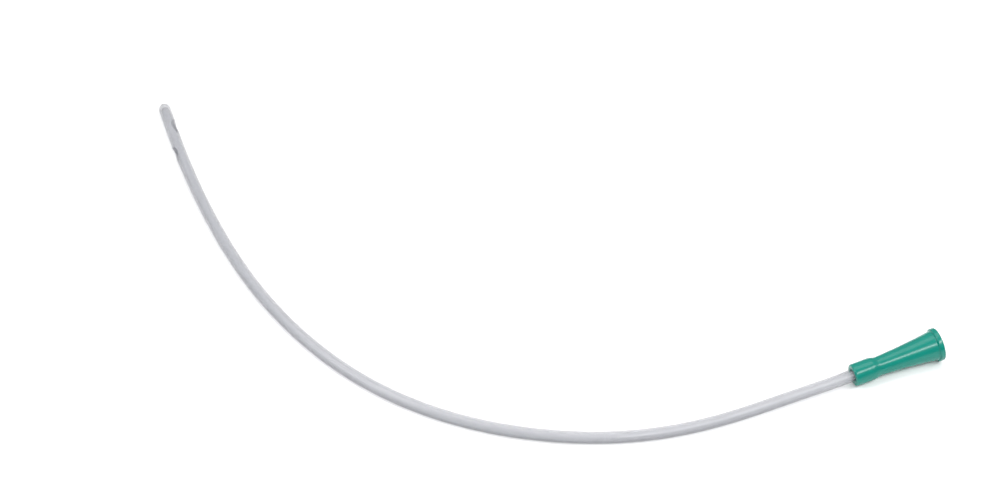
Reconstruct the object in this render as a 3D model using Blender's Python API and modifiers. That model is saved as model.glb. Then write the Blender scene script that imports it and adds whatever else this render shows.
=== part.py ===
"""Urethral catheter: a clear PVC shaft with a rounded tip and two side eyes, bonded into a green funnel.

Metres, +Z up. The catheter lies on the surface z = 0 with the funnel pointing along +X, and the origin
is on that surface below the middle of the whole catheter.
"""
from math import atan, cos, pi, radians, sin

import bmesh
import bpy
from mathutils import Matrix, Vector
import numpy as np

# Shaft: Charriere 14, which is three to the millimetre of outer diameter
CHARRIERE = 14
SHAFT_DIAMETER = CHARRIERE / 3 / 1000
LUMEN_DIAMETER = 0.0031
TIP_LENGTH = 0.0030             # the rounded end
TIP_THICKNESS = 0.0022          # solid PVC between the lumen and the end
SEAT_DEPTH = 0.0105             # shaft held inside the funnel's collar

# Side eyes, measured from the tip
FIRST_EYE_FROM_TIP = 0.0135
SECOND_EYE_FROM_TIP = 0.0275
EYE_LENGTH = 0.0070
EYE_WIDTH = 0.0026
EYE_TURN = radians(70)          # the first eye's turn from straight up; the second faces the other way

# Funnel, measured from the collar's end face
FUNNEL_LENGTH = 0.0355
COLLAR_DIAMETER = 0.0085
COLLAR_LENGTH = 0.0073
COLLAR_EDGE = 0.0006
SHOULDER_LENGTH = 0.0032
NECK_DIAMETER = 0.0073
CONE_DIAMETER = 0.0112          # outside, where the cone meets the rim
RIM_DIAMETER = 0.0127
RIM_LENGTH = 0.0020
RIM_EDGE = 0.0004
RIM_FILLET = 0.0005

# Funnel bore
SOCKET_CHAMFER = 0.0003
THROAT_LENGTH = 0.0010          # as narrow as the lumen, just past the shaft's end
BORE_DIAMETER = 0.0046          # where the long taper starts
BORE_START = 0.0145
MOUTH_DIAMETER = 0.0092
MOUTH_LIP = 0.0004

# Clearances
BOND_GAP = 0.0003               # between the shaft and its socket, all round and at its end

# Plan route of the shaft, from the collar's end face to the tip
ROUTE = [
    (0.0765, -0.1169),
    (0.0538, -0.1165),
    (0.0310, -0.1164),
    (0.0082, -0.1146),
    (-0.0139, -0.1091),
    (-0.0346, -0.0998),
    (-0.0536, -0.0873),
    (-0.0703, -0.0720),
    (-0.0843, -0.0540),
    (-0.0949, -0.0341),
    (-0.1024, -0.0128),
    (-0.1073, 0.0099),
    (-0.1096, 0.0325),
    (-0.1100, 0.0552),
    (-0.1090, 0.0780),
    (-0.1069, 0.1007),
    (-0.1039, 0.1233),
]
SPAN_SAMPLES = 24               # points read from the smooth curve between two route points

# Mesh fineness
RING_STEP = 2 * SHAFT_DIAMETER  # between two rings of the shaft
ROUND_RESOLUTION = 4            # curve bevel, twelve sides
TIP_RINGS = 4
FUNNEL_SIDES = 32
CONE_STEPS = 6
SHOULDER_STEPS = 4
EDGE_STEPS = 3
EYE_SIDES = 20
MERGE_DISTANCE = 0.00001
CUT_MARGIN = 0.001              # how far a cutter runs past what it cuts
SMOOTH_ANGLE = radians(35)


def clear_scene():
    """Removes every object, so that the model stands alone."""
    for item in list(bpy.data.objects):
        bpy.data.objects.remove(item, do_unlink=True)


def new_collection(name):
    collection = bpy.data.collections.new(name)
    bpy.context.scene.collection.children.link(collection)
    return collection


def new_material(name, colour, roughness, alpha=1.0):
    """Principled plastic in a linear colour."""
    material = bpy.data.materials.new(name)
    material.use_nodes = True
    shader = material.node_tree.nodes["Principled BSDF"]
    shader.inputs["Base Color"].default_value = (*colour, 1.0)
    shader.inputs["Roughness"].default_value = roughness
    shader.inputs["Metallic"].default_value = 0.0
    shader.inputs["Alpha"].default_value = alpha
    material.diffuse_color = (*colour, alpha)
    return material


def arc(centre_radius, centre_height, radius, start, end, steps):
    """Points of a circular arc in the (radius, height) plane, between two angles in degrees."""
    points = []
    for angle in np.radians(np.linspace(start, end, steps + 1)):
        points.append((centre_radius + radius * cos(angle), centre_height + radius * sin(angle)))
    return points


def funnel_outside():
    """Outer profile as (radius, height above the collar's end face), from the mouth down to the collar."""
    rim = RIM_DIAMETER / 2
    cone = CONE_DIAMETER / 2
    neck = NECK_DIAMETER / 2
    collar = COLLAR_DIAMETER / 2
    rim_back = FUNNEL_LENGTH - RIM_LENGTH
    cone_top = rim_back - RIM_FILLET
    cone_foot = COLLAR_LENGTH + SHOULDER_LENGTH
    points = arc(rim - RIM_EDGE, FUNNEL_LENGTH - RIM_EDGE, RIM_EDGE, 90, 0, EDGE_STEPS)
    points += arc(rim - RIM_EDGE, rim_back + RIM_EDGE, RIM_EDGE, 0, -90, EDGE_STEPS)
    points += arc(cone + RIM_FILLET, rim_back - RIM_FILLET, RIM_FILLET, 90, 180, EDGE_STEPS)
    # The cone opens a little faster towards the mouth
    for step in range(1, CONE_STEPS + 1):
        share = 1 - step / CONE_STEPS
        opening = (share + share ** 2) / 2
        points.append((neck + (cone - neck) * opening, cone_foot + (cone_top - cone_foot) * share))
    # A soft shoulder leads from the neck out to the collar
    for step in range(1, SHOULDER_STEPS + 1):
        share = step / SHOULDER_STEPS
        swell = (1 - cos(pi * share)) / 2
        points.append((neck + (collar - neck) * swell, cone_foot - SHOULDER_LENGTH * share))
    points += arc(collar - COLLAR_EDGE, COLLAR_EDGE, COLLAR_EDGE, 0, -90, EDGE_STEPS)
    return points


def funnel_inside():
    """Bore profile as (radius, height), from the collar's end face up to the mouth."""
    socket = SHAFT_DIAMETER / 2 + BOND_GAP
    socket_end = SEAT_DEPTH + BOND_GAP
    mouth = MOUTH_DIAMETER / 2
    points = [
        (socket + SOCKET_CHAMFER, 0),
        (socket, SOCKET_CHAMFER),
        (socket, socket_end),
        (LUMEN_DIAMETER / 2, socket_end),
        (LUMEN_DIAMETER / 2, socket_end + THROAT_LENGTH),
        (BORE_DIAMETER / 2, BORE_START),
    ]
    points += arc(mouth + MOUTH_LIP, FUNNEL_LENGTH - MOUTH_LIP, MOUTH_LIP, 180, 90, EDGE_STEPS)
    return points


# The funnel rests on its rim's back edge and on its collar's front edge, so it points slightly up
RIM_CONTACT = FUNNEL_LENGTH - RIM_LENGTH + RIM_EDGE
SLOPE = (RIM_DIAMETER - COLLAR_DIAMETER) / 2 / (RIM_CONTACT - COLLAR_EDGE)
TILT = atan(SLOPE)
FUNNEL_AXIS = Vector((cos(TILT), 0, sin(TILT)))
COLLAR_HEIGHT = max(radius * cos(TILT) - height * sin(TILT) for radius, height in funnel_outside())
COLLAR_FACE = Vector((*ROUTE[0], COLLAR_HEIGHT))

# The shaft leaves the collar along the funnel's axis and levels out on the surface
SHAFT_HEIGHT = SHAFT_DIAMETER / 2
RISE_LENGTH = 2 * (COLLAR_HEIGHT - SHAFT_HEIGHT) / SLOPE


def smooth_curve(points, first_direction):
    """Cubic curve through the points, with no kink or jump of bend, leaving along first_direction."""
    points = np.array(points)
    count = len(points)
    weights = np.zeros((count, count))
    wanted = np.zeros((count, 2))
    weights[0, 0] = 1
    wanted[0] = np.array(first_direction) * np.linalg.norm(points[1] - points[0])
    for i in range(1, count - 1):
        weights[i, i - 1:i + 2] = 1, 4, 1
        wanted[i] = 3 * (points[i + 1] - points[i - 1])
    weights[-1, -2:] = 1, 2
    wanted[-1] = 3 * (points[-1] - points[-2])
    tangents = np.linalg.solve(weights, wanted)
    t = np.linspace(0, 1, SPAN_SAMPLES, endpoint=False)[:, None]
    spans = []
    for i in range(count - 1):
        from_start = (2 * t ** 3 - 3 * t ** 2 + 1) * points[i] + (t ** 3 - 2 * t ** 2 + t) * tangents[i]
        from_end = (3 * t ** 2 - 2 * t ** 3) * points[i + 1] + (t ** 3 - t ** 2) * tangents[i + 1]
        spans.append(from_start + from_end)
    return np.vstack(spans + [points[-1:]])


PLAN = smooth_curve(ROUTE, (-1, 0))
ALONG = np.concatenate(([0], np.cumsum(np.linalg.norm(np.diff(PLAN, axis=0), axis=1))))
FREE_LENGTH = float(ALONG[-1])  # shaft between the collar's end face and the tip


def on_shaft(distance):
    """Point of the shaft's centreline, this far past the collar's end face; negative is in the collar."""
    if distance < 0:
        return COLLAR_FACE - FUNNEL_AXIS * distance
    x = np.interp(distance, ALONG, PLAN[:, 0])
    y = np.interp(distance, ALONG, PLAN[:, 1])
    left_to_fall = max(RISE_LENGTH - distance, 0)
    return Vector((x, y, SHAFT_HEIGHT + SLOPE * left_to_fall ** 2 / (2 * RISE_LENGTH)))


def round_ended_rod(name, diameter, start, end, dome, collection):
    """Mesh rod along the shaft's centreline, flat at its start, with a rounded end of length dome."""
    dome_start = end - dome
    body_steps = max(1, round((dome_start - max(start, 0)) / RING_STEP))
    stations = [(distance, 1.0) for distance in np.linspace(max(start, 0), dome_start, body_steps + 1)]
    if start < 0:
        stations.insert(0, (start, 1.0))
    for ring in range(1, TIP_RINGS + 1):
        angle = pi / 2 * ring / (TIP_RINGS + 0.4)
        stations.append((dome_start + dome * sin(angle), cos(angle)))
    curve = bpy.data.curves.new(name + "_path", "CURVE")
    curve.dimensions = "3D"
    curve.twist_mode = "Z_UP"
    curve.bevel_depth = diameter / 2
    curve.bevel_resolution = ROUND_RESOLUTION
    curve.use_fill_caps = True
    spline = curve.splines.new("POLY")
    spline.points.add(len(stations) - 1)
    for point, (distance, width) in zip(spline.points, stations):
        point.co = (*on_shaft(distance), 1)
        point.radius = width
    path = bpy.data.objects.new(name + "_path", curve)
    collection.objects.link(path)
    bpy.context.view_layer.update()
    evaluated = path.evaluated_get(bpy.context.evaluated_depsgraph_get())
    mesh = bpy.data.meshes.new_from_object(evaluated)
    mesh.name = name
    weld(mesh)
    rod = bpy.data.objects.new(name, mesh)
    rod.matrix_world = path.matrix_world
    collection.objects.link(rod)
    bpy.data.objects.remove(path, do_unlink=True)
    return rod


def weld(mesh):
    """Joins a curve's loose caps to its wall."""
    shape = bmesh.new()
    shape.from_mesh(mesh)
    bmesh.ops.remove_doubles(shape, verts=shape.verts, dist=MERGE_DISTANCE)
    bmesh.ops.recalc_face_normals(shape, faces=shape.faces)
    shape.to_mesh(mesh)
    shape.free()


def eye_cutter(name, from_tip, turn, collection):
    """Oval punch that stands on the shaft's wall at one side eye and reaches in to the centreline."""
    shape = bmesh.new()
    depth = SHAFT_DIAMETER / 2 + CUT_MARGIN
    bmesh.ops.create_cone(
        shape, cap_ends=True, segments=EYE_SIDES, radius1=0.5, radius2=0.5, depth=depth,
        matrix=Matrix.Translation((0, 0, depth / 2)),
    )
    bmesh.ops.scale(shape, verts=shape.verts, vec=(EYE_LENGTH, EYE_WIDTH, 1))
    mesh = bpy.data.meshes.new(name)
    shape.to_mesh(mesh)
    shape.free()
    distance = FREE_LENGTH - from_tip
    forward = (on_shaft(distance + CUT_MARGIN) - on_shaft(distance - CUT_MARGIN)).normalized()
    side = forward.cross(Vector((0, 0, 1))).normalized()
    outward = side * sin(turn) + side.cross(forward) * cos(turn)
    across = outward.cross(forward)
    turned = Matrix((forward, across, outward)).transposed().to_4x4()
    cutter = bpy.data.objects.new(name, mesh)
    cutter.matrix_world = Matrix.Translation(on_shaft(distance)) @ turned
    collection.objects.link(cutter)
    return cutter


def mark_cutter(cutter):
    cutter.hide_render = True
    cutter.display_type = "WIRE"


def cut(body, cutter):
    """Takes the cutter's shape out of the body."""
    mark_cutter(cutter)
    boolean = body.modifiers.new(cutter.name, "BOOLEAN")
    boolean.operation = "DIFFERENCE"
    boolean.solver = "EXACT"
    boolean.object = cutter


def shade_round(mesh):
    mesh.shade_smooth()
    mesh.set_sharp_from_angle(angle=SMOOTH_ANGLE)


def build_shaft(parts, cutters):
    """Extruded tube, closed and rounded at its tip, open at its seated end, with two side eyes."""
    shaft = round_ended_rod("catheter_shaft", SHAFT_DIAMETER, -SEAT_DEPTH, FREE_LENGTH, TIP_LENGTH, parts)
    lumen_start = -SEAT_DEPTH - CUT_MARGIN
    lumen_end = FREE_LENGTH - TIP_THICKNESS
    lumen_dome = LUMEN_DIAMETER / 2
    lumen = round_ended_rod("lumen_cutter", LUMEN_DIAMETER, lumen_start, lumen_end, lumen_dome, cutters)
    cut(shaft, lumen)
    cut(shaft, eye_cutter("first_eye_cutter", FIRST_EYE_FROM_TIP, EYE_TURN, cutters))
    cut(shaft, eye_cutter("second_eye_cutter", SECOND_EYE_FROM_TIP, EYE_TURN + pi, cutters))
    shade_round(shaft.data)
    shaft.data.materials.append(new_material("clear_pvc", (0.62, 0.64, 0.70), 0.25, 0.55))
    return shaft


def build_funnel(parts):
    """Moulded funnel turned from one closed profile round its own axis."""
    profile = funnel_outside() + funnel_inside()
    mesh = bpy.data.meshes.new("funnel_connector")
    corners = [(radius, 0, height) for radius, height in profile]
    edges = [(i, (i + 1) % len(corners)) for i in range(len(corners))]
    mesh.from_pydata(corners, edges, [])
    funnel = bpy.data.objects.new("funnel_connector", mesh)
    turned = funnel.modifiers.new("turned", "SCREW")
    turned.axis = "Z"
    turned.angle = 2 * pi
    turned.steps = FUNNEL_SIDES
    turned.render_steps = FUNNEL_SIDES
    turned.use_merge_vertices = True
    turned.merge_threshold = MERGE_DISTANCE
    turned.use_smooth_shade = True
    funnel.location = COLLAR_FACE
    funnel.rotation_euler = (0, pi / 2 - TILT, 0)
    parts.objects.link(funnel)
    mesh.materials.append(new_material("green_pvc", (0.042, 0.328, 0.287), 0.35))
    return funnel


def main():
    clear_scene()
    parts = new_collection("urethral_catheter")
    cutters = new_collection("cutters")
    build_shaft(parts, cutters)
    build_funnel(parts)


main()
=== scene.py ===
"""Urethral catheter in clear and green PVC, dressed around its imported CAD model.

The shaft is made straight, as it is extruded, with its tip and side eyes formed, and Geometry Nodes then
lay it along its route. The funnel is turned from its mould's profile.
"""
from math import asin, atan, cos, pi, radians, sin, sqrt, tan

import bmesh
import bpy
import numpy as np
from mathutils import Matrix, Vector


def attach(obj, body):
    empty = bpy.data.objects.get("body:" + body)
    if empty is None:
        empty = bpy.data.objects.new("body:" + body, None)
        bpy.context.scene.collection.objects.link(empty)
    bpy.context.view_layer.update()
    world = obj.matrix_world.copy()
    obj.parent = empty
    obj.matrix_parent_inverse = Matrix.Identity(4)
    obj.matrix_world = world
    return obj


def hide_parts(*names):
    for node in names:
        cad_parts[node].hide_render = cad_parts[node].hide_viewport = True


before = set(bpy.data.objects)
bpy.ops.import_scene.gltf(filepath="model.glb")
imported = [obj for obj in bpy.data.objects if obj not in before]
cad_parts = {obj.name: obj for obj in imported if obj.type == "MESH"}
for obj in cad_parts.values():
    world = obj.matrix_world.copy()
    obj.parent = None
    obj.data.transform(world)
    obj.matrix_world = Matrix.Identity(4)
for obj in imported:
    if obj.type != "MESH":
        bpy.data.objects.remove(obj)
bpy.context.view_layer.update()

bl_info = {
    "name": "Urethral catheter",
    "version": (1, 0, 0),
    "blender": (4, 5, 0),
    "location": "3D View > Sidebar > Catheter",
    "description": "Builds a clear PVC urethral catheter with a green funnel around its CAD model",
    "category": "Add Mesh",
}

MM = 0.001
BODY = "root"

# Plan route of the shaft, from the collar's end face to the tip, as the CAD model has it
ROUTE = [
    (0.0765, -0.1169),
    (0.0538, -0.1165),
    (0.0310, -0.1164),
    (0.0082, -0.1146),
    (-0.0139, -0.1091),
    (-0.0346, -0.0998),
    (-0.0536, -0.0873),
    (-0.0703, -0.0720),
    (-0.0843, -0.0540),
    (-0.0949, -0.0341),
    (-0.1024, -0.0128),
    (-0.1073, 0.0099),
    (-0.1096, 0.0325),
    (-0.1100, 0.0552),
    (-0.1090, 0.0780),
    (-0.1069, 0.1007),
    (-0.1039, 0.1233),
]
SPAN_SAMPLES = 24
# Points of the route inside the collar, before its first free point
SEATED_POINTS = 6
# Straight run of the route past the tip, so that no length is lost there
PAST_TIP = 5 * MM


def length_property(name, description, default):
    """Size in metres."""
    return bpy.props.FloatProperty(
        name=name, description=description, default=default, unit="LENGTH", precision=5,
    )


def colour_property(name, description, default):
    """Colour as an sRGB hex value."""
    return bpy.props.StringProperty(
        name=name, description=description + ", as an sRGB hex value", default=default,
    )


class ShaftSettings(bpy.types.PropertyGroup):
    """Sizes and colour of the clear shaft."""
    diameter: length_property("Outer diameter", "Charriere 14, three to the millimetre", 0.0046667)
    lumen: length_property("Lumen diameter", "Bore of the tube", 0.0031)
    seat: length_property("Seated length", "Shaft held inside the collar", 0.0105)
    tip: length_property("Tip length", "Length of the rounded end", 0.0030)
    tip_wall: length_property("Tip thickness", "Solid PVC beyond the lumen", 0.0022)
    first_eye: length_property("First eye", "From the tip to the middle of the first eye", 0.0135)
    second_eye: length_property("Second eye", "From the tip to the middle of the second eye", 0.0275)
    eye_length: length_property("Eye length", "Along the shaft", 0.0070)
    eye_width: length_property("Eye width", "Across the shaft", 0.0026)
    eye_lip: length_property("Eye lip", "Radius of the polished edge of an eye", 0.00015)
    eye_turn: bpy.props.FloatProperty(
        name="Eye turn", description="First eye's turn from straight up; the second faces the other way",
        default=radians(70), subtype="ANGLE",
    )
    tint: colour_property("PVC tint", "Clear PVC where the wall is thin, at the lumen", "#E6E8EC")
    # Painted shade: the deep tint stands in for the light lost where clear PVC is seen edge on or through
    # its full thickness
    thick_pvc_shade_tint: colour_property("Deep tint", "Clear PVC seen edge on or in its full thickness", "#3A3C4A")
    # The skin depth is the share of that painted shade on the wall's outer skin
    skin: bpy.props.FloatProperty(
        name="Skin depth", description="Share of the deep tint in the wall's outer skin",
        default=0.76, min=0, max=1, subtype="FACTOR",
    )


class FunnelSettings(bpy.types.PropertyGroup):
    """Sizes and colour of the green funnel."""
    length: length_property("Length", "From the collar's end face to the mouth", 0.0355)
    collar: length_property("Collar diameter", "Outside", 0.0085)
    collar_length: length_property("Collar length", "Up to the shoulder", 0.0073)
    collar_edge: length_property("Collar edge", "Radius of the collar's outer edge", 0.0006)
    shoulder: length_property("Shoulder length", "From the collar to the neck", 0.0032)
    neck: length_property("Neck diameter", "Outside, where the cone starts", 0.0073)
    cone: length_property("Cone diameter", "Outside, where the cone meets the rim", 0.0112)
    rim: length_property("Rim diameter", "Outside", 0.0127)
    rim_length: length_property("Rim length", "Along the axis", 0.0020)
    rim_edge: length_property("Rim edge", "Radius of the rim's outer edges", 0.0004)
    rim_fillet: length_property("Rim fillet", "Radius between the cone and the rim", 0.0005)
    fit: length_property("Fit", "Gap left between the shaft and the collar's mouth", 0.00003)
    end_gap: length_property("End gap", "Left in the socket past the shaft's end", 0.0003)
    socket_chamfer: length_property("Socket edge", "Radius of the socket's edge at the end face", 0.00025)
    throat_length: length_property("Throat length", "As narrow as the lumen, past the shaft's end", 0.0010)
    bore: length_property("Bore diameter", "Where the long taper starts", 0.0046)
    bore_start: length_property("Bore start", "From the collar's end face", 0.0145)
    mouth: length_property("Mouth diameter", "Inside", 0.0092)
    mouth_lip: length_property("Mouth lip", "Radius of the mouth's inner edge", 0.0004)
    parting: bpy.props.FloatProperty(
        name="Parting line", description="Turn of the mould's parting line from straight up, towards +Y",
        default=radians(-68), subtype="ANGLE",
    )
    colour: colour_property("Green", "Colour code of Charriere 14", "#037E6F")
    clouds: colour_property("Clouds", "Multiplies the green where the pigment is thickest", "#EAF1F3")


class StageSettings(bpy.types.PropertyGroup):
    """Camera, floor and the white of the lights' dome."""
    azimuth: bpy.props.FloatProperty(
        name="Azimuth", description="Way the camera looks, from +Y towards -X", default=radians(-23.69),
        subtype="ANGLE",
    )
    elevation: bpy.props.FloatProperty(
        name="Elevation", description="Camera's height above the horizon", default=radians(45),
        subtype="ANGLE",
    )
    distance: length_property("Distance", "From the camera to the point it looks at", 2.005)
    target: bpy.props.FloatVectorProperty(
        name="Target", description="Point that the camera looks at", default=(-0.01423, 0.00092, 0.0),
        subtype="TRANSLATION",
    )
    lens: bpy.props.FloatProperty(
        name="Lens", description="Focal length on a 36 mm sensor", default=190.0,
        subtype="DISTANCE_CAMERA",
    )
    floor_colour: colour_property("Floor", "White paper", "#FAFAFA")
    floor_shade: colour_property("Floor shade", "White paper where its clouds are deepest", "#F6F6F7")
    floor_reach: length_property("Floor reach", "From the middle of the sheet to its edge", 3.0)
    floor_drop: length_property("Floor drop", "Sheet's top below the catheter's underside", 0.00005)
    dome_colour: colour_property("Dome", "White of the dome that lights the set", "#FDFDFF")


# Colours and nodes

def linear(hex_colour):
    """Linear RGBA of an sRGB hex value."""
    values = [int(hex_colour[i:i + 2], 16) / 255 for i in (1, 3, 5)]
    return tuple(v / 12.92 if v <= 0.04045 else ((v + 0.055) / 1.055) ** 2.4 for v in values) + (1.0,)


def add_node(tree, kind, settings=None, links=None):
    """Adds a node. Settings go to its inputs, by name or index, or attributes. Links feed its inputs."""
    node = tree.nodes.new(kind)
    for key, value in (settings or {}).items():
        if isinstance(key, int) or key in node.inputs:
            node.inputs[key].default_value = value
        else:
            setattr(node, key, value)
    for key, source in (links or {}).items():
        tree.links.new(source, node.inputs[key])
    return node


def new_material(name):
    """Empty node material with its output node."""
    material = bpy.data.materials.new(name)
    material.use_nodes = True
    material.node_tree.nodes.clear()
    output = material.node_tree.nodes.new("ShaderNodeOutputMaterial")
    return material, material.node_tree, output


def clear_pvc(shaft):
    """Clear plasticised PVC, extruded: see-through but hazy, faintly blued, with draw lines along it, and
    painted shade where it is thick.
    """
    material, tree, output = new_material("clear_extruded_pvc")
    uv = add_node(tree, "ShaderNodeUVMap", {"uv_map": "wrap"})
    # Draw lines are 25 mm long and 0.4 mm apart, coarser than real ones so that they show
    stretch = add_node(
        tree, "ShaderNodeMapping", {"Scale": (1 / (0.4 * MM), 1 / (25 * MM), 1)},
        {"Vector": uv.outputs["UV"]},
    )
    lines = add_node(
        tree, "ShaderNodeTexNoise", {"Scale": 1.0, "Detail": 3.0}, {"Vector": stretch.outputs[0]},
    )
    # Haze comes in clouds about 6 mm wide and 15 mm long
    spread = add_node(
        tree, "ShaderNodeMapping", {"Scale": (1 / (6.25 * MM), 1 / (15.4 * MM), 1)},
        {"Vector": uv.outputs["UV"]},
    )
    clouds = add_node(
        tree, "ShaderNodeTexNoise", {"Scale": 1.0, "Detail": 2.0}, {"Vector": spread.outputs[0]},
    )
    rough = add_node(
        tree, "ShaderNodeMapRange", {"From Min": 0.3, "From Max": 0.7, "To Min": 0.38, "To Max": 0.48},
        {"Value": clouds.outputs["Fac"]},
    )
    bump = add_node(
        tree, "ShaderNodeBump", {"Strength": 0.12, "Distance": 0.05 * MM},
        {"Height": lines.outputs["Fac"]},
    )
    # Painted shade: the outer skin, the cut walls of the eyes and the solid tip take a darker tint than
    # the lumen, standing in for the light lost where more PVC lies behind them
    deep = add_node(tree, "ShaderNodeAttribute", {"attribute_name": "deep"})
    colour = add_node(tree, "ShaderNodeMix", {"data_type": "RGBA"}, {"Factor": deep.outputs["Fac"]})
    colour.inputs[6].default_value = linear(shaft.tint)
    colour.inputs[7].default_value = linear(shaft.thick_pvc_shade_tint)
    # The die polishes the outside, which is glossier than the haze in the wall
    shader = add_node(
        tree, "ShaderNodeBsdfPrincipled",
        {"IOR": 1.53, "Alpha": 0.38, "Coat Weight": 0.8, "Coat Roughness": 0.15},
        {"Base Color": colour.outputs[2], "Roughness": rough.outputs[0], "Normal": bump.outputs[0]},
    )
    tree.links.new(shader.outputs[0], output.inputs["Surface"])
    return material


def green_pvc(funnel):
    """Pigmented PVC, injection moulded: soft gloss, and a little light passes under the skin."""
    material, tree, output = new_material("green_moulded_pvc")
    place = add_node(tree, "ShaderNodeTexCoord")
    # Pigment flows in clouds about 6 mm across
    clouds = add_node(
        tree, "ShaderNodeTexNoise", {"Scale": 1 / (6.25 * MM), "Detail": 3.0, "Roughness": 0.5},
        {"Vector": place.outputs["Object"]},
    )
    shade = add_node(
        tree, "ShaderNodeMix", {"data_type": "RGBA", "blend_type": "MULTIPLY"},
        {"Factor": clouds.outputs["Fac"]},
    )
    shade.inputs[6].default_value = linear(funnel.colour)
    shade.inputs[7].default_value = linear(funnel.clouds)
    rough = add_node(
        tree, "ShaderNodeMapRange", {"From Min": 0.3, "From Max": 0.7, "To Min": 0.22, "To Max": 0.26},
        {"Value": clouds.outputs["Fac"]},
    )
    # The mould's satin grain, about 0.25 mm
    grain = add_node(
        tree, "ShaderNodeTexNoise", {"Scale": 1 / (0.25 * MM), "Detail": 2.0},
        {"Vector": place.outputs["Object"]},
    )
    skin = add_node(
        tree, "ShaderNodeBump", {"Strength": 0.15, "Distance": 0.02 * MM},
        {"Height": grain.outputs["Fac"]},
    )
    # The mould's two halves leave a ridge on opposite sides, 0.12 mm to each side of their line
    uv = add_node(tree, "ShaderNodeUVMap", {"uv_map": "wrap"})
    parts = add_node(tree, "ShaderNodeSeparateXYZ", {}, {0: uv.outputs["UV"]})
    half_turn = pi * funnel.collar / 2
    turned = add_node(
        tree, "ShaderNodeMath", {"operation": "SUBTRACT", 1: funnel.parting * funnel.collar / 2},
        {0: parts.outputs["X"]},
    )
    to_line = add_node(
        tree, "ShaderNodeMath", {"operation": "PINGPONG", 1: half_turn / 2}, {0: turned.outputs[0]},
    )
    ridge = add_node(
        tree, "ShaderNodeMapRange",
        {
            "interpolation_type": "SMOOTHSTEP", "From Min": 0.0, "From Max": 0.12 * MM,
            "To Min": 1.0, "To Max": 0.0,
        },
        {"Value": to_line.outputs[0]},
    )
    bump = add_node(
        tree, "ShaderNodeBump", {"Strength": 0.6, "Distance": 0.04 * MM},
        {"Height": ridge.outputs[0], "Normal": skin.outputs[0]},
    )
    shader = add_node(
        tree, "ShaderNodeBsdfPrincipled",
        {
            "IOR": 1.53, "Specular IOR Level": 0.35, "Subsurface Weight": 0.15,
            "Subsurface Radius": (0.3, 1.0, 0.8), "Subsurface Scale": MM,
        },
        {"Base Color": shade.outputs[2], "Roughness": rough.outputs[0], "Normal": bump.outputs[0]},
    )
    tree.links.new(shader.outputs[0], output.inputs["Surface"])
    return material


def wrap_uv(shape, radius):
    """UV map in metres of a piece along X: U goes round it, from the top towards +Y, and V along it."""
    wrap = shape.loops.layers.uv.new("wrap")
    for face in shape.faces:
        centre = face.calc_center_median()
        around = np.arctan2(centre.y, centre.z)
        for loop in face.loops:
            place = loop.vert.co
            angle = np.arctan2(place.y, place.z) if place.y or place.z else around
            if angle - around > pi:
                angle -= 2 * pi
            if around - angle > pi:
                angle += 2 * pi
            loop[wrap].uv = (angle * radius, place.x)


# Shaft

def smooth_curve(points, first_direction):
    """Cubic curve through the points, with no kink or jump of bend, leaving along first_direction."""
    points = np.array(points)
    count = len(points)
    weights = np.zeros((count, count))
    wanted = np.zeros((count, 2))
    weights[0, 0] = 1
    wanted[0] = np.array(first_direction) * np.linalg.norm(points[1] - points[0])
    for i in range(1, count - 1):
        weights[i, i - 1:i + 2] = 1, 4, 1
        wanted[i] = 3 * (points[i + 1] - points[i - 1])
    weights[-1, -2:] = 1, 2
    wanted[-1] = 3 * (points[-1] - points[-2])
    tangents = np.linalg.solve(weights, wanted)
    t = np.linspace(0, 1, SPAN_SAMPLES, endpoint=False)[:, None]
    spans = []
    for i in range(count - 1):
        from_start = (2 * t ** 3 - 3 * t ** 2 + 1) * points[i] + (t ** 3 - 2 * t ** 2 + t) * tangents[i]
        from_end = (3 * t ** 2 - 2 * t ** 3) * points[i + 1] + (t ** 3 - t ** 2) * tangents[i + 1]
        spans.append(from_start + from_end)
    return np.vstack(spans + [points[-1:]])


def funnel_rest(funnel):
    """Tilt of the resting funnel and the height of its axis at the collar's end face."""
    rim_contact = funnel.length - funnel.rim_length + funnel.rim_edge
    tilt = atan((funnel.rim - funnel.collar) / 2 / (rim_contact - funnel.collar_edge))
    height = max(r * cos(tilt) - h * sin(tilt) for r, h in outer_profile(funnel, 8))
    return tilt, height


def route_line(shaft, funnel):
    """Centreline of the shaft from its seated end to its tip, and its free length past the collar.

    It leaves the collar along the funnel's axis and comes down to lie on the surface in one even bend.
    """
    tilt, collar_height = funnel_rest(funnel)
    slope = tan(tilt)
    lying = shaft.diameter / 2
    rise = 2 * (collar_height - lying) / slope
    plan = smooth_curve(ROUTE, (-1, 0))
    along = np.concatenate(([0], np.cumsum(np.linalg.norm(np.diff(plan, axis=0), axis=1))))
    heights = lying + slope * np.clip(rise - along, 0, None) ** 2 / (2 * rise)
    face = Vector((*ROUTE[0], collar_height))
    axis = Vector((cos(tilt), 0, sin(tilt)))
    depths = np.linspace(shaft.seat, 0, SEATED_POINTS, endpoint=False)
    seated = [tuple(face + axis * depth) for depth in depths]
    line = seated + [(x, y, z) for (x, y), z in zip(plan, heights)]
    return line, float(along[-1])


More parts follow.
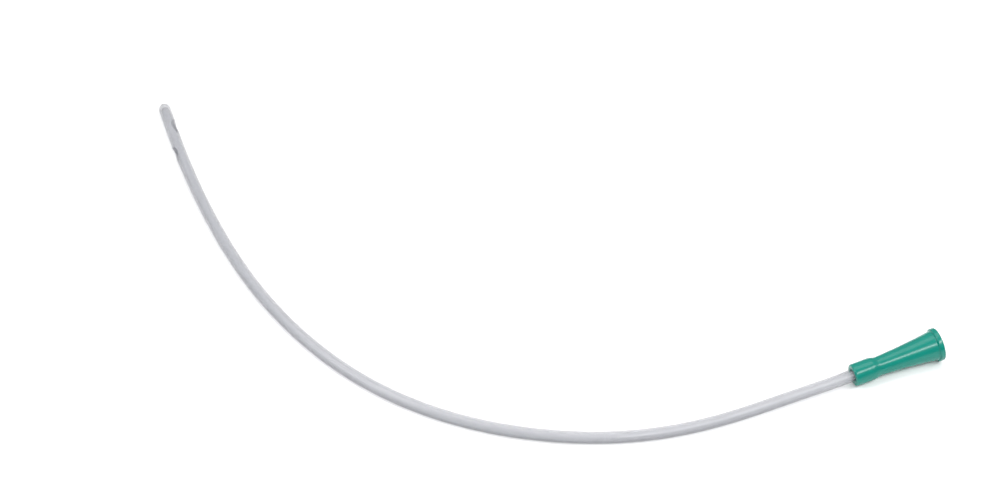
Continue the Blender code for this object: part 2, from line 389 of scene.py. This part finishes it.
class Shaft:
    """Straight tube along +X with its tip, lumen and side eyes, built ring by ring as a closed mesh."""
    AROUND = 64                 # outer columns
    BORE_AROUND = 40            # lumen columns
    WINDOW = 18                 # columns of the window round an eye, in both walls
    WINDOW_ROWS = 22
    WINDOW_MARGIN = 1.0 * MM    # from the eye's end to the window's edge
    BODY_STEP = 2.5 * MM        # between rings along the body
    END_STEP = 0.5 * MM         # between rings beside the eyes
    DOME_RINGS = 12
    EYE_RINGS = 7
    LIP_RINGS = 3

    def __init__(self, settings, length):
        self.s = settings
        self.length = length
        self.mesh = bmesh.new()
        # Share of the painted shade tint at each vertex
        self.deep = self.mesh.verts.layers.float.new("deep")
        self.eyes = [
            (length - settings.first_eye, settings.eye_turn),
            (length - settings.second_eye, settings.eye_turn + pi),
        ]

    def stations(self, end):
        """Places of the rings from the seated end to end, fine beside the eyes."""
        half = self.s.eye_length / 2 + self.WINDOW_MARGIN
        marks = [-self.s.seat, 0.0]
        (first, _), (second, _) = self.eyes
        body_end = second - half
        marks += list(np.linspace(0, body_end, round(body_end / self.BODY_STEP) + 1))[1:]
        marks += list(np.linspace(second - half, second + half, self.WINDOW_ROWS + 1))[1:]
        gap = first - half - (second + half)
        steps = max(2, round(gap / self.END_STEP))
        marks += list(np.linspace(second + half, first - half, steps + 1))[1:]
        marks += list(np.linspace(first - half, first + half, self.WINDOW_ROWS + 1))[1:]
        rest = end - (first + half)
        steps = max(2, round(rest / self.END_STEP))
        marks += list(np.linspace(first + half, end, steps + 1))[1:]
        return marks

    def vertex(self, along, radius, angle):
        """Vertex on a circle round the shaft's axis, the angle from straight up towards +Y."""
        vert = self.mesh.verts.new((along, radius * sin(angle), radius * cos(angle)))
        # Painted shade: the outer skin and the solid tip take a darker tint than the lumen's thin side,
        # for the light lost in thick PVC
        solid = (along - self.length + 2 * self.s.tip_wall) / self.s.tip_wall
        skin = self.s.skin if radius > self.s.lumen / 2 else 0
        vert[self.deep] = min(1, max(skin, solid))
        return vert

    def face(self, corners, outwards):
        """Face that looks away from the shaft's axis, or towards it."""
        if outwards:
            corners = corners[::-1]
        return self.mesh.faces.new(corners)

    def wall(self, radius, columns, end, dome, outwards):
        """One wall, outer or lumen, closed by its dome. Returns its first ring and its eyes' loops."""
        marks = self.stations(end)
        turn = self.s.eye_turn
        angles = [turn + 2 * pi * c / columns for c in range(columns)]
        rings = [[self.vertex(x, radius, a) for a in angles] for x in marks]
        half = self.s.eye_length / 2 + self.WINDOW_MARGIN
        side = self.WINDOW // 2
        windows = []
        for centre, eye_angle in self.eyes:
            low = min(range(len(marks)), key=lambda i: abs(marks[i] - (centre - half)))
            middle = round((eye_angle - turn) / (2 * pi) * columns)
            windows.append((low, low + self.WINDOW_ROWS, middle - side, middle + side))

        def in_window(row, column):
            for low, high, left, right in windows:
                if low <= row < high and (column - left) % columns < right - left:
                    return True
            return False

        for row in range(len(marks) - 1):
            for column in range(columns):
                if in_window(row, column):
                    continue
                after = (column + 1) % columns
                here, there = rings[row], rings[row + 1]
                self.face([here[column], here[after], there[after], there[column]], outwards)
        # Dome
        last = rings[-1]
        for step in range(1, self.DOME_RINGS):
            angle = pi / 2 * step / self.DOME_RINGS
            ring = [self.vertex(end + dome * sin(angle), radius * cos(angle), a) for a in angles]
            for column in range(columns):
                after = (column + 1) % columns
                self.face([last[column], last[after], ring[after], ring[column]], outwards)
            last = ring
        pole = self.vertex(end + dome, 0, 0)
        for column in range(columns):
            self.face([last[column], last[(column + 1) % columns], pole], outwards)
        # Windows
        loops = []
        for (low, high, left, right), (centre, eye_angle) in zip(windows, self.eyes):
            border = [(low, c) for c in range(left, right)]
            border += [(r, right) for r in range(low, high)]
            border += [(high, c) for c in range(right, left, -1)]
            border += [(r, left) for r in range(high, low, -1)]
            ring = [rings[r][c % columns] for r, c in border]
            spread = 2 * pi * side / columns
            places = []
            for r, c in border:
                across = angles[0] + 2 * pi * c / columns - eye_angle
                places.append(((marks[r] - centre) / half, across / spread))
            loops.append(self.eye_window(ring, places, centre, eye_angle, radius, spread, half, outwards))
        return rings[0], loops

    def eye_window(self, ring, places, centre, eye_angle, radius, spread, half, outwards):
        """Rings from a window's square border to its eye's oval edge.

        The window reaches half along the shaft and spread round it from the eye's middle.
        """
        lip = self.s.eye_lip
        width = self.s.eye_width / 2 + lip
        length = self.s.eye_length / 2 + lip
        last = ring
        for step in range(1, self.EYE_RINGS + 1):
            # The rings crowd towards the eye's edge
            share = 1 - (1 - step / self.EYE_RINGS) ** 1.5
            new = []
            for x, y in places:
                reach = sqrt(x * x + y * y)
                oval_along = length * x / reach
                oval_angle = asin(min(1, width * y / reach / radius))
                along = half * x * (1 - share) + oval_along * share
                angle = spread * y * (1 - share) + oval_angle * share
                new.append(self.vertex(centre + along, radius, eye_angle + angle))
            self.bridge(last, new, outwards)
            last = new
        return last, [(x / sqrt(x * x + y * y), y / sqrt(x * x + y * y)) for x, y in places]

    def bridge(self, outer, inner, outwards):
        """Faces between two loops of as many points."""
        count = len(outer)
        for i in range(count):
            after = (i + 1) % count
            self.face([outer[i], outer[after], inner[after], inner[i]], outwards)

    def eye_wall(self, outer, inner, directions, centre, eye_angle):
        """Wall of an eye through the tube's thickness, with a polished lip at both ends."""
        lip = self.s.eye_lip
        top = self.s.diameter / 2
        bottom = self.s.lumen / 2
        profile = []
        for step in range(1, self.LIP_RINGS + 1):
            angle = pi / 2 * step / self.LIP_RINGS
            profile.append((lip * (1 - sin(angle)), top - lip * (1 - cos(angle))))
        profile.append((0.0, (top + bottom) / 2))
        for step in range(0, self.LIP_RINGS):
            angle = pi / 2 * (1 - step / self.LIP_RINGS)
            profile.append((lip * (1 - sin(angle)), bottom + lip * (1 - cos(angle))))
        last = outer
        for spread, radius in profile:
            ring = []
            for x, y in directions:
                along = centre + (self.s.eye_length / 2 + spread) * x
                across = (self.s.eye_width / 2 + spread) * y
                ring.append(self.vertex(along, radius, eye_angle + asin(across / radius)))
                # The eye's cut wall, seen edge on, takes the full painted shade
                ring[-1][self.deep] = 1.0
            self.bridge(last, ring, True)
            last = ring
        self.bridge(last, inner, True)

    def close_end(self, outer, inner):
        """Flat ring at the seated end, between two circles of different counts."""
        a, b = len(outer), len(inner)
        i = j = 0
        while i < a or j < b:
            if j >= b or (i < a and (i + 1) / a <= (j + 1) / b):
                self.face([outer[i % a], inner[j % b], outer[(i + 1) % a]], True)
                i += 1
            else:
                self.face([outer[i % a], inner[j % b], inner[(j + 1) % b]], True)
                j += 1

    def build(self, name):
        """The finished straight mesh."""
        dome_start = self.length - self.s.tip
        first, outer = self.wall(self.s.diameter / 2, self.AROUND, dome_start, self.s.tip, True)
        bore = self.s.lumen / 2
        bore_end = self.length - self.s.tip_wall - bore
        first_in, inner = self.wall(bore, self.BORE_AROUND, bore_end, bore, False)
        for (ring, directions), (ring_in, _), (centre, eye_angle) in zip(outer, inner, self.eyes):
            self.eye_wall(ring, ring_in, directions, centre, eye_angle)
        self.close_end(first, first_in)
        wrap_uv(self.mesh, self.s.diameter / 2)
        for face in self.mesh.faces:
            face.smooth = True
        data = bpy.data.meshes.new(name)
        self.mesh.to_mesh(data)
        self.mesh.free()
        return data


def lay_tree(material):
    """Geometry Nodes that lay a straight piece along a route: its X follows the curve, its Z stays up."""
    tree = bpy.data.node_groups.new("lay_along_route", "GeometryNodeTree")
    tree.interface.new_socket("Geometry", in_out="INPUT", socket_type="NodeSocketGeometry")
    tree.interface.new_socket("Route", in_out="INPUT", socket_type="NodeSocketObject")
    seated = tree.interface.new_socket("Seated length", in_out="INPUT", socket_type="NodeSocketFloat")
    seated.default_value = 0.0
    tree.interface.new_socket("Geometry", in_out="OUTPUT", socket_type="NodeSocketGeometry")
    source = add_node(tree, "NodeGroupInput")
    route = add_node(tree, "GeometryNodeObjectInfo", {}, {"Object": source.outputs["Route"]})
    place = add_node(tree, "GeometryNodeInputPosition")
    parts = add_node(tree, "ShaderNodeSeparateXYZ", {}, {0: place.outputs[0]})
    along = add_node(
        tree, "ShaderNodeMath", {"operation": "ADD"},
        {0: parts.outputs["X"], 1: source.outputs["Seated length"]},
    )
    sample = add_node(
        tree, "GeometryNodeSampleCurve", {"mode": "LENGTH"},
        {"Curves": route.outputs["Geometry"], "Length": along.outputs[0]},
    )
    cross = add_node(
        tree, "ShaderNodeVectorMath", {"operation": "CROSS_PRODUCT", 1: (0, 0, 1)},
        {0: sample.outputs["Tangent"]},
    )
    side = add_node(tree, "ShaderNodeVectorMath", {"operation": "NORMALIZE"}, {0: cross.outputs[0]})
    up = add_node(
        tree, "ShaderNodeVectorMath", {"operation": "CROSS_PRODUCT"},
        {0: side.outputs[0], 1: sample.outputs["Tangent"]},
    )
    sideways = add_node(
        tree, "ShaderNodeVectorMath", {"operation": "SCALE"},
        {0: side.outputs[0], "Scale": parts.outputs["Y"]},
    )
    upwards = add_node(
        tree, "ShaderNodeVectorMath", {"operation": "SCALE"},
        {0: up.outputs[0], "Scale": parts.outputs["Z"]},
    )
    offset = add_node(
        tree, "ShaderNodeVectorMath", {"operation": "ADD"},
        {0: sideways.outputs[0], 1: upwards.outputs[0]},
    )
    laid = add_node(
        tree, "ShaderNodeVectorMath", {"operation": "ADD"},
        {0: sample.outputs["Position"], 1: offset.outputs[0]},
    )
    moved = add_node(
        tree, "GeometryNodeSetPosition", {},
        {"Geometry": source.outputs["Geometry"], "Position": laid.outputs[0]},
    )
    real = add_node(tree, "GeometryNodeRealizeInstances", {}, {"Geometry": moved.outputs[0]})
    painted = add_node(
        tree, "GeometryNodeSetMaterial", {"Material": material}, {"Geometry": real.outputs[0]},
    )
    add_node(tree, "NodeGroupOutput", {}, {"Geometry": painted.outputs[0]})
    return tree


def bake_nodes(obj, tree, values):
    """Runs the tree on the object with these inputs, and keeps the result as the object's plain mesh."""
    modifier = obj.modifiers.new("rule", "NODES")
    modifier.node_group = tree
    for item in tree.interface.items_tree:
        if item.item_type == "SOCKET" and item.in_out == "INPUT" and item.name in values:
            modifier[item.identifier] = values[item.name]
    bpy.context.view_layer.update()
    graph = bpy.context.evaluated_depsgraph_get()
    mesh = bpy.data.meshes.new_from_object(
        obj.evaluated_get(graph), preserve_all_data_layers=True, depsgraph=graph,
    )
    mesh.name = obj.name
    obj.modifiers.remove(modifier)
    obj.data = mesh


def link(obj):
    """Puts the object in the scene."""
    bpy.context.scene.collection.objects.link(obj)
    return obj


class CATHETER_OT_shaft(bpy.types.Operator):
    """Makes the clear shaft and lays it along its route"""
    bl_idname = "catheter.shaft"
    bl_label = "Shaft"

    def execute(self, context):
        settings = context.scene.catheter_shaft
        line, free_length = route_line(settings, context.scene.catheter_funnel)
        route = bpy.data.curves.new("shaft_route", "CURVE")
        route.dimensions = "3D"
        spline = route.splines.new("POLY")
        past = Vector(line[-1]) + (Vector(line[-1]) - Vector(line[-2])).normalized() * PAST_TIP
        points = line + [tuple(past)]
        spline.points.add(len(points) - 1)
        for point, place in zip(spline.points, points):
            point.co = (*place, 1)
        guide = link(bpy.data.objects.new("shaft_route", route))
        mesh = Shaft(settings, free_length).build("clear_shaft")
        shaft = link(bpy.data.objects.new("clear_shaft", mesh))
        tree = lay_tree(clear_pvc(settings))
        bake_nodes(shaft, tree, {"Route": guide, "Seated length": settings.seat})
        bpy.data.objects.remove(guide, do_unlink=True)
        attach(shaft, BODY)
        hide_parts("catheter_shaft")
        return {"FINISHED"}


# Funnel

# Rows along the collar's straight side
COLLAR_ROWS = 6


def arc(centre_radius, centre_height, radius, start, end, steps):
    """Points of a circular arc in the (radius, height) plane, between two angles in degrees."""
    points = []
    for angle in np.radians(np.linspace(start, end, steps + 1)):
        points.append((centre_radius + radius * cos(angle), centre_height + radius * sin(angle)))
    return points


def outer_profile(funnel, steps):
    """Outside of the funnel as (radius, height above the collar's end face), from the mouth down."""
    rim, cone, neck, collar = funnel.rim / 2, funnel.cone / 2, funnel.neck / 2, funnel.collar / 2
    rim_back = funnel.length - funnel.rim_length
    cone_top = rim_back - funnel.rim_fillet
    cone_foot = funnel.collar_length + funnel.shoulder
    points = arc(rim - funnel.rim_edge, funnel.length - funnel.rim_edge, funnel.rim_edge, 90, 0, steps)
    points += arc(rim - funnel.rim_edge, rim_back + funnel.rim_edge, funnel.rim_edge, 0, -90, steps)
    points += arc(cone + funnel.rim_fillet, cone_top, funnel.rim_fillet, 90, 180, steps)
    # The cone opens faster towards the rim
    for step in range(1, 5 * steps + 1):
        share = 1 - step / (5 * steps)
        opening = (share + share ** 2) / 2
        points.append((neck + (cone - neck) * opening, cone_foot + (cone_top - cone_foot) * share))
    # The shoulder swells from the neck to the collar
    for step in range(1, 2 * steps + 1):
        share = step / (2 * steps)
        swell = (1 - cos(pi * share)) / 2
        points.append((neck + (collar - neck) * swell, cone_foot - funnel.shoulder * share))
    for height in np.linspace(funnel.collar_length, funnel.collar_edge, COLLAR_ROWS + 1)[1:-1]:
        points.append((collar, float(height)))
    points += arc(collar - funnel.collar_edge, funnel.collar_edge, funnel.collar_edge, 0, -90, steps)
    return points


def inner_profile(funnel, shaft, steps):
    """Bore of the funnel as (radius, height), from the collar's end face up to the mouth."""
    socket = shaft.diameter / 2 + funnel.fit
    socket_end = shaft.seat + funnel.end_gap
    mouth = funnel.mouth / 2
    chamfer = funnel.socket_chamfer
    points = arc(socket + chamfer, chamfer, chamfer, 270, 180, steps)
    points += [(socket, socket_end), (shaft.lumen / 2, socket_end)]
    points += [(shaft.lumen / 2, socket_end + funnel.throat_length)]
    top = funnel.length - funnel.mouth_lip
    # The bore's long taper
    for step in range(0, 4 * steps):
        share = step / (4 * steps)
        radius = funnel.bore / 2 + (mouth - funnel.bore / 2) * share
        points.append((radius, funnel.bore_start + (top - funnel.bore_start) * share))
    points += arc(mouth + funnel.mouth_lip, top, funnel.mouth_lip, 180, 90, steps)
    return points


class CATHETER_OT_funnel(bpy.types.Operator):
    """Turns the green funnel from its mould's profile"""
    bl_idname = "catheter.funnel"
    bl_label = "Funnel"
    SIDES = 144
    STEPS = 6

    def execute(self, context):
        settings = context.scene.catheter_funnel
        shaft = context.scene.catheter_shaft
        profile = outer_profile(settings, self.STEPS) + inner_profile(settings, shaft, self.STEPS)
        shape = bmesh.new()
        verts = [shape.verts.new((height, 0, radius)) for radius, height in profile]
        edges = [shape.edges.new((verts[i], verts[(i + 1) % len(verts)])) for i in range(len(verts))]
        bmesh.ops.spin(
            shape, geom=verts + edges, cent=(0, 0, 0), axis=(1, 0, 0), angle=2 * pi, steps=self.SIDES,
            use_duplicate=False,
        )
        bmesh.ops.remove_doubles(shape, verts=shape.verts, dist=0.001 * MM)
        bmesh.ops.recalc_face_normals(shape, faces=shape.faces)
        wrap_uv(shape, settings.collar / 2)
        for face in shape.faces:
            face.smooth = True
        mesh = bpy.data.meshes.new("green_funnel")
        shape.to_mesh(mesh)
        shape.free()
        tilt, height = funnel_rest(settings)
        place = Matrix.Translation((*ROUTE[0], height)) @ Matrix.Rotation(-tilt, 4, "Y")
        mesh.transform(place)
        mesh.set_sharp_from_angle(angle=radians(40))
        funnel = link(bpy.data.objects.new("green_funnel", mesh))
        mesh.materials.append(green_pvc(settings))
        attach(funnel, BODY)
        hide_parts("funnel_connector")
        return {"FINISHED"}


class CATHETER_OT_stage(bpy.types.Operator):
    """Sets the floor, the lights and the camera"""
    bl_idname = "catheter.stage"
    bl_label = "Stage"

    def execute(self, context):
        settings = context.scene.catheter_stage
        self.floor(settings)
        self.lights(context, settings)
        self.camera(context, settings)
        context.scene.view_settings.view_transform = "Standard"
        return {"FINISHED"}

    def floor(self, settings):
        """Sheet of white paper, far wider than the view."""
        shape = bmesh.new()
        bmesh.ops.create_grid(shape, x_segments=1, y_segments=1, size=settings.floor_reach)
        mesh = bpy.data.meshes.new("floor")
        shape.to_mesh(mesh)
        shape.free()
        mesh.transform(Matrix.Translation((0, 0, -settings.floor_drop)))
        material, tree, output = new_material("white_paper")
        place = add_node(tree, "ShaderNodeTexCoord")
        # Paper's cloudiness, about 40 mm
        clouds = add_node(
            tree, "ShaderNodeTexNoise", {"Scale": 1 / (40 * MM), "Detail": 2.0},
            {"Vector": place.outputs["Object"]},
        )
        colour = add_node(tree, "ShaderNodeMix", {"data_type": "RGBA"}, {"Factor": clouds.outputs["Fac"]})
        colour.inputs[6].default_value = linear(settings.floor_colour)
        colour.inputs[7].default_value = linear(settings.floor_shade)
        shader = add_node(
            tree, "ShaderNodeBsdfPrincipled", {"Roughness": 0.9, "Specular IOR Level": 0.2},
            {"Base Color": colour.outputs[2]},
        )
        tree.links.new(shader.outputs[0], output.inputs["Surface"])
        mesh.materials.append(material)
        link(bpy.data.objects.new("floor", mesh))

    def lights(self, context, settings):
        """White dome, dimmer low down and behind the camera, a strip light in front and two softboxes."""
        world = bpy.data.worlds.new("studio")
        world.use_nodes = True
        tree = world.node_tree
        tree.nodes.clear()
        place = add_node(tree, "ShaderNodeTexCoord")
        parts = add_node(tree, "ShaderNodeSeparateXYZ", {}, {0: place.outputs["Generated"]})
        rise = add_node(
            tree, "ShaderNodeMapRange",
            {"From Min": 0.0, "From Max": 0.5, "To Min": 0.15, "To Max": 0.65},
            {"Value": parts.outputs["Z"]},
        )
        depth = add_node(
            tree, "ShaderNodeMapRange",
            {"From Min": -0.8, "From Max": 0.6, "To Min": 0.5, "To Max": 1.0},
            {"Value": parts.outputs["Y"]},
        )
        strength = add_node(
            tree, "ShaderNodeMath", {"operation": "MULTIPLY"}, {0: rise.outputs[0], 1: depth.outputs[0]},
        )
        background = add_node(
            tree, "ShaderNodeBackground", {"Color": linear(settings.dome_colour)},
            {"Strength": strength.outputs[0]},
        )
        output = add_node(tree, "ShaderNodeOutputWorld")
        tree.links.new(background.outputs[0], output.inputs["Surface"])
        context.scene.world = world
        self.softbox("strip_light", (0.35, -0.80, 1.05), (1.40, 0.22), 15.0)
        self.softbox("top_softbox", (0.05, 0.35, 1.25), (1.60, 0.80), 8.0)
        self.softbox("left_softbox", (-1.10, 0.10, 0.90), (0.80, 0.80), 9.0)

    def softbox(self, name, place, size, power):
        """Area light that faces the catheter's middle."""
        light = bpy.data.lights.new(name, "AREA")
        light.shape = "RECTANGLE"
        light.size, light.size_y = size
        light.energy = power
        lamp = link(bpy.data.objects.new(name, light))
        lamp.location = place
        lamp.rotation_euler = (-Vector(place)).to_track_quat("-Z", "Y").to_euler()

    def camera(self, context, settings):
        """Camera at the photograph's viewing angle."""
        camera = bpy.data.cameras.new("camera")
        camera.lens = settings.lens
        camera.clip_start = 0.1
        back = Vector((
            sin(settings.azimuth) * cos(settings.elevation),
            -cos(settings.azimuth) * cos(settings.elevation),
            sin(settings.elevation),
        ))
        viewer = link(bpy.data.objects.new("camera", camera))
        viewer.location = Vector(settings.target) + back * settings.distance
        viewer.rotation_euler = (-back).to_track_quat("-Z", "Y").to_euler()
        context.scene.camera = viewer


class CATHETER_PT_panel(bpy.types.Panel):
    """Sizes and colours of the catheter, and a button for each piece and for the stage"""
    bl_idname = "CATHETER_PT_panel"
    bl_label = "Urethral catheter"
    bl_space_type = "VIEW_3D"
    bl_region_type = "UI"
    bl_category = "Catheter"

    def draw(self, context):
        layout = self.layout
        for operator, group in (
            (CATHETER_OT_shaft, context.scene.catheter_shaft),
            (CATHETER_OT_funnel, context.scene.catheter_funnel),
            (CATHETER_OT_stage, context.scene.catheter_stage),
        ):
            box = layout.box()
            box.operator(operator.bl_idname)
            for name in group.__annotations__:
                box.prop(group, name)


CLASSES = (
    ShaftSettings, FunnelSettings, StageSettings,
    CATHETER_OT_shaft, CATHETER_OT_funnel, CATHETER_OT_stage, CATHETER_PT_panel,
)


def register():
    """Registers the classes and hangs their settings on the scene."""
    for item in CLASSES:
        bpy.utils.register_class(item)
    bpy.types.Scene.catheter_shaft = bpy.props.PointerProperty(type=ShaftSettings)
    bpy.types.Scene.catheter_funnel = bpy.props.PointerProperty(type=FunnelSettings)
    bpy.types.Scene.catheter_stage = bpy.props.PointerProperty(type=StageSettings)


def unregister():
    """Takes the settings and the classes away again."""
    del bpy.types.Scene.catheter_stage
    del bpy.types.Scene.catheter_funnel
    del bpy.types.Scene.catheter_shaft
    for item in reversed(CLASSES):
        bpy.utils.unregister_class(item)


def main():
    register()
    bpy.ops.catheter.stage()
    bpy.ops.catheter.shaft()
    bpy.ops.catheter.funnel()


if __name__ == "__main__":
    main()
